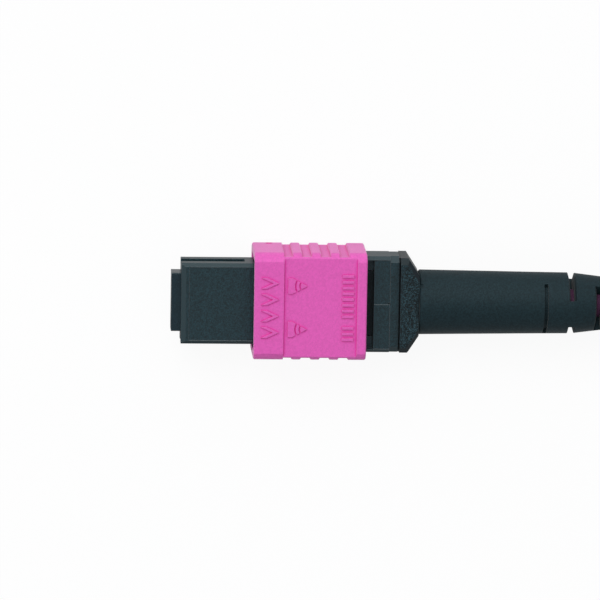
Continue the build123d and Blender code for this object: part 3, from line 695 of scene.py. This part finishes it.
class FreeCableOperator(bpy.types.Operator):
    """Round cable from the boot's tail to a tied hank, one smooth line from end to end"""

    bl_idname = "connector.free_cable"
    bl_label = "Free cable"

    def execute(self, context):
        sizes = context.scene.connector_sizes
        colours = context.scene.connector_colours
        points = self.route()
        curve = bpy.data.curves.new("free_cable", "CURVE")
        curve.dimensions = "3D"
        spline = curve.splines.new("NURBS")
        spline.points.add(len(points) - 1)
        spline.points.foreach_set("co", np.c_[points, np.ones(len(points))].ravel())
        spline.order_u = 3
        spline.use_endpoint_u = True
        curve.resolution_u = 8
        curve.bevel_depth = sizes.cable / 2
        curve.bevel_resolution = 6
        curve.use_fill_caps = True
        cable = link("free_cable", curve)
        # Dyed PVC, extruded round the fibres: half gloss, smooth but for faint long waves
        jacket = extruded_sheath("pvc_extruded", tuple(colours.jacket), roughness=0.42, ripple=1.2)
        curve.materials.append(jacket)
        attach(cable, body_of_node("cable_lead"))
        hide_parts("cable_lead", "cable_hank")
        return {"FINISHED"}

    def route(self):
        """The line's control points, in metres.

        Out of the boot and down to the hank, then turns of two straights and two folds. A fold
        has six points, a twelfth of a turn apart, on the many-sided ring that its circle touches,
        and each straight has one more point beside each fold. From turn to turn the line moves to
        the next place of the stack, each turn one point later than the turn above it, so that
        turns never meet.
        """
        low, pitch = -2.25, 3.0
        near, far, middle = 75.0, 106.495, 12.0
        lanes = [12, 9, 9, 12, 12, 9, 9, 12]
        layers = [0, 0, 1, 1, 2, 2, 3, 3]
        move_at = [13, 12, 11, 10, 9, 8, 7]
        straight, fold = 2, 6
        side = straight + fold
        last_turn, last_turn_points = len(lanes) - 1, 5
        step = math.pi / fold
        points = [(54.2, 0, 0), (61.4, 0, 0), (68.6, 0, low), (76.0, 0, low)]
        for turn, (lane, layer) in enumerate(zip(lanes, layers)):
            for k in range(last_turn_points if turn == last_turn else 2 * side):
                r, z = lane, low + pitch * layer
                if turn < last_turn:
                    share = min(max(0.5 * (k - move_at[turn] + 1), 0.0), 1.0)
                    r = lane + share * (lanes[turn + 1] - lane)
                    z = low + pitch * (layer + share * (layers[turn + 1] - layer))
                beside = r * math.tan(step / 2)
                corner = r / math.cos(step / 2)
                if k < straight:
                    x, y = (near + beside, far - beside)[k], -r
                elif k < side:
                    bend = (k - straight + 0.5) * step
                    x = far + corner * math.sin(bend)
                    y = -corner * math.cos(bend)
                elif k < side + straight:
                    x, y = (far - beside, near + beside)[k - side], r
                else:
                    bend = (k - side - straight + 0.5) * step
                    x = near - corner * math.sin(bend)
                    y = corner * math.cos(bend)
                points.append((x, middle + y, z))
        return np.array(points) * MM


class SpringsOperator(bpy.types.Operator):
    """Oval spring behind the ferrule and the two small springs that return the sleeve"""

    bl_idname = "connector.springs"
    bl_label = "Springs"

    def execute(self, context):
        sizes = context.scene.connector_sizes
        steel = tuple(context.scene.connector_colours.steel)
        # Stainless wire drawn through a die: bright, with a soft edge to its highlights
        wire = drawn_metal("stainless_drawn", steel, roughness=0.28, spacing=0.05)
        self.coil(
            "ferrule_spring",
            sizes.ferrule_wire,
            sizes.ferrule_turns,
            square=0.62,
            joint="ferrule_float",
            material=wire,
        )
        for side in ("left", "right"):
            self.coil(
                f"sleeve_spring_{side}",
                sizes.sleeve_wire,
                sizes.sleeve_turns,
                square=1.0,
                joint="sleeve_pull",
                material=wire,
            )
        return {"FINISHED"}

    def coil(self, name, wire, turns, square, joint, material):
        """A closed-end coil in the node's box.

        At turn angle a the line lies at (w |cos a|^s, h |sin a|^s) with the signs of cos and sin,
        where s is 1 for a round coil and less for a squarer one. The pitch is the wire's own width
        at both ends, and grows to its full size over half a turn once the end turn is closed.
        """
        low, high = (np.array(corner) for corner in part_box(name))
        per_turn, wire_sides = 48, 10
        closed_turns, opening_turns = 0.6, 0.5
        touching = wire * 1.02
        angle = np.linspace(0, 2 * np.pi * turns, turns * per_turn + 1)
        from_end = np.minimum(angle, angle[-1] - angle) / (2 * np.pi)
        blend = np.clip(from_end - closed_turns, 0, opening_turns) / opening_turns
        blend = blend * blend * (3 - 2 * blend)
        closed = touching / per_turn
        room = high[0] - low[0] - touching
        open_step = (room - closed * (turns * per_turn)) / blend[1:].sum()
        run = np.cumsum(closed + open_step * blend[1:])
        x = low[0] + touching / 2 + np.concatenate([[0], run])
        half = (high - low)[1:] / 2 - wire / 2
        middle = (high + low)[1:] / 2
        cos, sin = np.cos(angle), np.sin(angle)
        across = np.sign(cos) * np.abs(cos) ** square
        up = np.sign(sin) * np.abs(sin) ** square
        path = np.stack([x, middle[0] + half[0] * across, middle[1] + half[1] * up], axis=1)
        outward = np.stack([0 * x, across / half[0], up / half[1]], axis=1)
        wire_grid = tube_grid(path, outward, wire / 2, wire_sides)
        piece = grid_piece(f"{name}_coil", wire_grid, wrap_v=True, first_cap=True, last_cap=True)
        piece.data.materials.append(material)
        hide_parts(name)
        squeeze_spring(piece, name)


def squeeze_spring(piece, name):
    """Puts a spring on its node's body and gives it a mesh of its own."""
    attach(piece, body_of_node(name))
    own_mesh(piece)


# Painted shade: what the sleeve's colour deepens to in its grooves, for its own light falling back on
# it
SLEEVE_GROOVE_SHADE = "#E0109A"


class MouldingsOperator(bpy.types.Operator):
    """Finishes of the moulded pieces: housing, rear body, sleeve and keeper"""

    bl_idname = "connector.mouldings"
    bl_label = "Mouldings"

    def execute(self, context):
        colours = context.scene.connector_colours
        # Glass-filled PBT from a lightly spark-eroded mould: dark, half gloss, grain on broad faces,
        # its lightest grains painted glints
        fine = moulded(
            "pbt_fine_grain",
            tuple(colours.housing),
            roughness=0.36,
            gloss=0.46,
            grain=0.09,
            depth=0.012,
            dark=0.3,
            light=1.8,
            edge=0.1,
            broad_only=True,
        )
        for name in ("front_housing", "ferrule_keeper"):
            coat_with(name, fine)
        # The same PBT from a coarser mould face: painted shade in its grooves and openings, and its
        # lightest grains painted glints that sparkle
        collar = tuple(colours.collar)
        sparkling = moulded(
            "pbt_coarse_grain",
            collar,
            roughness=0.38,
            gloss=0.28,
            grain=0.075,
            depth=0.03,
            dark=0.05,
            light=8.0,
            edge=0.04,
            flecked=0.5,
            broad_only=True,
            recess_shade=scaled(collar, 0.1)[:3],
            reach=1.2,
        )
        coat_with("rear_body", sparkling)
        # Dyed PBT with an even satin grain: its colour deepens in the grooves as a painted shade
        satin = moulded(
            "pbt_dyed_satin",
            tuple(colours.sleeve),
            roughness=0.5,
            gloss=0.3,
            grain=0.16,
            depth=0.02,
            dark=0.93,
            light=1.05,
            edge=0.1,
            recess_shade=linear(SLEEVE_GROOVE_SHADE),
            sheen=0.35,
        )
        coat_with("coupling_sleeve", satin)
        return {"FINISHED"}


class FerruleOperator(bpy.types.Operator):
    """Finishes of the ferrule and of the rubber seal in its pocket"""

    bl_idname = "connector.ferrule"
    bl_label = "Ferrule"

    def execute(self, context):
        colours = context.scene.connector_colours
        # PPS filled with glass, from a mirror-flat mould: smooth and dark, with clear highlights
        polished = moulded(
            "pps_polished",
            tuple(colours.ferrule),
            roughness=0.25,
            gloss=0.38,
            grain=0.12,
            depth=0.002,
            dark=0.8,
            light=1.2,
            edge=0.02,
        )
        coat_with("ferrule", polished)
        # Silicone rubber, moulded: soft and matt
        seal = moulded(
            "silicone_seal",
            tuple(colours.seal),
            roughness=0.6,
            gloss=0.4,
            grain=0.1,
            depth=0.004,
            dark=0.9,
            light=1.1,
            edge=0.02,
        )
        coat_with("ferrule_seal", seal)
        return {"FINISHED"}


class BootOperator(bpy.types.Operator):
    """Finishes of the soft boot and of the cable inside it"""

    bl_idname = "connector.boot"
    bl_label = "Boot"

    def execute(self, context):
        colours = context.scene.connector_colours
        # Thermoplastic rubber from a fine-blasted mould: matt, with a soft bloom
        rubber = moulded(
            "tpe_matt",
            tuple(colours.boot),
            roughness=0.6,
            gloss=0.2,
            grain=0.12,
            depth=0.008,
            dark=0.7,
            light=1.3,
            edge=0.01,
            sheen=0.08,
        )
        coat_with("boot", rubber)
        # The cable's dyed PVC, dull, darkened as a painted shade where only the boot's slots let
        # light in
        shaded = scaled(colours.jacket, 0.28)[:3]
        inside = extruded_sheath("pvc_in_boot", shaded, roughness=0.5, ripple=1.2, gloss=0.1)
        coat_with("cable_in_boot", inside)
        return {"FINISHED"}


class CrimpOperator(bpy.types.Operator):
    """Crimp ring with its six pressed flats, and the strength yarn under it"""

    bl_idname = "connector.crimp"
    bl_label = "Crimp"

    def execute(self, context):
        colours = context.scene.connector_colours
        sizes = context.scene.connector_sizes
        # Brass, turned and nickel-plated: bright, with fine lines round the axis
        plated = drawn_metal(
            "nickel_plated_turned", tuple(colours.plate), roughness=0.3, spacing=0.06
        )
        ring = self.ring(sizes)
        ring.data.materials.append(plated)
        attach(ring, body_of_node("crimp_ring"))
        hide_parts("crimp_ring")
        # Aramid yarn: straw-yellow strands with a silky sheen along them
        silky = fibrous("aramid_yarn", tuple(colours.yarn), spacing=0.05, stretch=(0.05, 1, 1))
        yarn = self.yarn()
        yarn.data.materials.append(silky)
        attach(yarn, body_of_node("strength_yarn"))
        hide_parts("strength_yarn")
        return {"FINISHED"}

    def ring(self, sizes):
        """A closed profile turned about X, from the wide part over the yarn to the cable's neck.

        On the wide part the outer radius at angle a is the smaller of R and
        (R - d) / cos(a - the nearest flat's middle), for six flats of depth d.
        """
        low, high = (np.array(corner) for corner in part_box("crimp_ring"))
        front, end = low[0], high[0]
        wide, wall = high[1], sizes.crimp_wall
        neck = sizes.cable / 2 + 0.02 * MM + wall
        wide_share = 0.56
        rear = front + (end - front) * wide_share
        front_rim, rear_rim, run_in, slope, edge = (
            size * MM for size in (1.2, 0.7, 0.3, 0.8, 0.06)
        )
        angle = once_round(96)
        from_flat = (angle + np.pi / 6) % (np.pi / 3) - np.pi / 6
        pressed = np.minimum(wide, (wide - sizes.crimp_flat) / np.cos(from_flat))
        profile = [
            (front, wide - wall),
            (front, wide - edge),
            (front + edge, wide),
            (front + front_rim, wide),
            (front + front_rim + run_in, pressed),
            (rear - rear_rim - run_in, pressed),
            (rear - rear_rim, wide),
            (rear, wide),
            (rear + slope, neck),
            (end - edge, neck),
            (end, neck - edge),
            (end, neck - wall),
            (rear + slope - wall / 2, neck - wall),
            (rear - wall / 2, wide - wall),
        ]
        x = np.array([place for place, outer in profile])
        radius = np.stack([np.broadcast_to(outer, len(angle)) for place, outer in profile])
        return grid_piece("crimp_ring_pressed", turned_grid(x, radius), True, True)

    def yarn(self):
        """Strands laid side by side, folded back over the tube and run down into the sheath.

        The radius swells by s |sin(n (a + t x) / 2)| over n strands that turn by t along X.
        """
        low, high = (np.array(corner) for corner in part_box("strength_yarn"))
        thick, folded, entry, core = (size * MM for size in (0.15, 2.4, 0.8, 0.88))
        furrow, turn_per_metre = 0.4, 120
        sides, strands, rows = 240, 40, 12
        run = np.linspace(low[0], high[0] - folded, rows)
        x = np.concatenate([run, [high[0] - entry, high[0]]])
        base = np.concatenate([np.full(rows, high[1] - thick), [core - thick, core - thick]])
        angle = once_round(sides)[None, :] + turn_per_metre * x[:, None]
        swell = np.abs(np.sin(strands / 2 * angle))
        skin = base[:, None] + thick * (1 - furrow + furrow * swell)
        under = np.broadcast_to(base[:, None], skin.shape)
        x = np.concatenate([x, x[::-1]])
        radius = np.concatenate([skin, under[::-1]])
        return grid_piece("strength_yarn_strands", turned_grid(x, radius), True, True)


# The coating ends this far behind the end face, in millimetres
STRIPPED = 3.0
GLASS = "#C9D3D4"
COATED_ROUGHNESS, GLASS_ROUGHNESS = 0.3, 0.05
FIBRE_COLOURS = {
    "blue": "#1F5FBF",
    "orange": "#E8791B",
    "green": "#2F9B4A",
    "brown": "#7A4A28",
    "slate": "#7C868C",
    "white": "#ECECE6",
    "red": "#CC2A2A",
    "black": "#1C1C1C",
    "yellow": "#E8D02C",
    "violet": "#6C3FA0",
    "rose": "#E48FA8",
    "aqua": "#3FBDBE",
}


class FibresOperator(bpy.types.Operator):
    """Finishes of the twelve coloured fibres, in their usual order"""

    bl_idname = "connector.fibres"
    bl_label = "Fibres"

    def execute(self, context):
        for number, (colour, code) in enumerate(FIBRE_COLOURS.items(), start=1):
            coat_with(f"fibre_{number:02d}", self.stripped_fibre(colour, linear(code)))
        return {"FINISHED"}

    def stripped_fibre(self, colour, dye):
        """Dyed acrylate over glass: an even gloss, and bare polished glass inside the ferrule."""
        material, tree, shader = start_material(f"acrylate_{colour}", dye, COATED_ROUGHNESS)
        shader.inputs["Coat Weight"].default_value = 0.3
        place = node(tree, "TexCoord").outputs["Object"]
        along = node(tree, "SeparateXYZ", {0: place}).outputs["X"]
        bare = node(
            tree, "Math", {0: along, 1: STRIPPED * MM}, operation="LESS_THAN"
        ).outputs[0]
        shade = node(
            tree,
            "Mix",
            {"Factor": bare, FROM: (*dye, 1), TO: (*linear(GLASS), 1)},
            data_type="RGBA",
        ).outputs[MIXED]
        tree.links.new(shade, shader.inputs["Base Color"])
        gloss = node(
            tree,
            "MapRange",
            {"Value": bare, "To Min": COATED_ROUGHNESS, "To Max": GLASS_ROUGHNESS},
        ).outputs["Result"]
        tree.links.new(gloss, shader.inputs["Roughness"])
        return material


class TiesOperator(bpy.types.Operator):
    """Two woven hook-and-loop ties, each wound once round the hank and closed on itself"""

    bl_idname = "connector.ties"
    bl_label = "Ties"

    def execute(self, context):
        # Nylon hook-and-loop tape, woven: black, matt, with a thread pattern that is just seen
        black = tuple(context.scene.connector_colours.tie)
        woven = fibrous("nylon_woven", black, spacing=0.22, sheen=0.08, pale=0.03)
        for name in ("hank_tie_near", "hank_tie_far"):
            tie = self.tie(name, context.scene.connector_sizes)
            tie.data.materials.append(woven)
            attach(tie, body_of_node(name))
            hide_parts(name)
        return {"FINISHED"}

    def tie(self, name, sizes):
        """A flat tape carried along a loop.

        The loop is a rounded rectangle: at turn angle a its corner centre is (sign(cos a) w,
        sign(sin a) h), and the line lies r away from it in the direction a. Past a full turn it
        lies one tape thickness further out, and the change is spread over a short ramp. The tape's
        section is a thin rectangle with rounded edges.
        """
        low, high = (np.array(corner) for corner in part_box(name))
        tape = sizes.tie_tape
        middle = (low + high) / 2
        half = (high - low) / 2
        corner, clearance = 1.5 * MM, 0.02 * MM
        wound, start, ramp = 2 * np.pi * 1.28, 0.35 * np.pi, 0.4
        turns = np.linspace(0.0, wound, 230) + start
        outside = tape * (0.5 + np.clip((turns - start - 2 * np.pi + ramp) / ramp, 0, 1))
        reach = corner + outside
        centre = half[1:] - 2 * tape - clearance - corner
        # A steep tanh stands for the signs, so that the line is smooth where they change
        steep = 12
        side_y = np.tanh(steep * np.cos(turns)) / math.tanh(steep)
        side_z = np.tanh(steep * np.sin(turns)) / math.tanh(steep)
        y = middle[1] + centre[0] * side_y + reach * np.cos(turns)
        z = middle[2] + centre[1] * side_z + reach * np.sin(turns)
        path = np.stack([np.full_like(y, middle[0]), y, z], axis=1)
        sideways = np.array([1.0, 0.0, 0.0])
        outward = np.cross(tangents(path), sideways)
        width, bend = half[0], tape / 2
        section = np.array(
            [
                (-width, bend / 2),
                (bend - width, bend),
                (width - bend, bend),
                (width, bend / 2),
                (width, -bend / 2),
                (width - bend, -bend),
                (bend - width, -bend),
                (-width, -bend / 2),
            ]
        )
        grid = (
            path[:, None]
            + section[None, :, :1] * sideways
            + section[None, :, 1:] * outward[:, None]
        )
        return grid_piece(f"{name}_tape", grid, wrap_v=True, first_cap=True, last_cap=True)


class ConnectorPanel(bpy.types.Panel):
    """Lists the connector's steps, sizes and colours"""

    bl_idname = "CONNECTOR_PT_steps"
    bl_label = "Connector"
    bl_space_type = "VIEW_3D"
    bl_region_type = "UI"
    bl_category = "Connector"

    def draw(self, context):
        layout = self.layout
        for step in STEPS:
            layout.operator(step.bl_idname)
        for group in (
            context.scene.connector_colours,
            context.scene.connector_sizes,
            context.scene.connector_stage,
        ):
            column = layout.column(align=True)
            for name in group.bl_rna.properties.keys():
                if name not in ("rna_type", "name"):
                    column.prop(group, name)


STEPS = (
    StageOperator,
    FreeCableOperator,
    SpringsOperator,
    MouldingsOperator,
    FerruleOperator,
    BootOperator,
    CrimpOperator,
    FibresOperator,
    TiesOperator,
)
GROUPS = (ConnectorColours, ConnectorSizes, StageSettings)
CLASSES = (*GROUPS, *STEPS, ConnectorPanel)


def register():
    for cls in CLASSES:
        bpy.utils.register_class(cls)
    bpy.types.Scene.connector_colours = PointerProperty(type=ConnectorColours)
    bpy.types.Scene.connector_sizes = PointerProperty(type=ConnectorSizes)
    bpy.types.Scene.connector_stage = PointerProperty(type=StageSettings)


def unregister():
    del bpy.types.Scene.connector_stage
    del bpy.types.Scene.connector_sizes
    del bpy.types.Scene.connector_colours
    for cls in reversed(CLASSES):
        bpy.utils.unregister_class(cls)


def main():
    register()
    for step in STEPS:
        group, name = step.bl_idname.split(".")
        getattr(getattr(bpy.ops, group), name)()


if __name__ == "__main__":
    main()
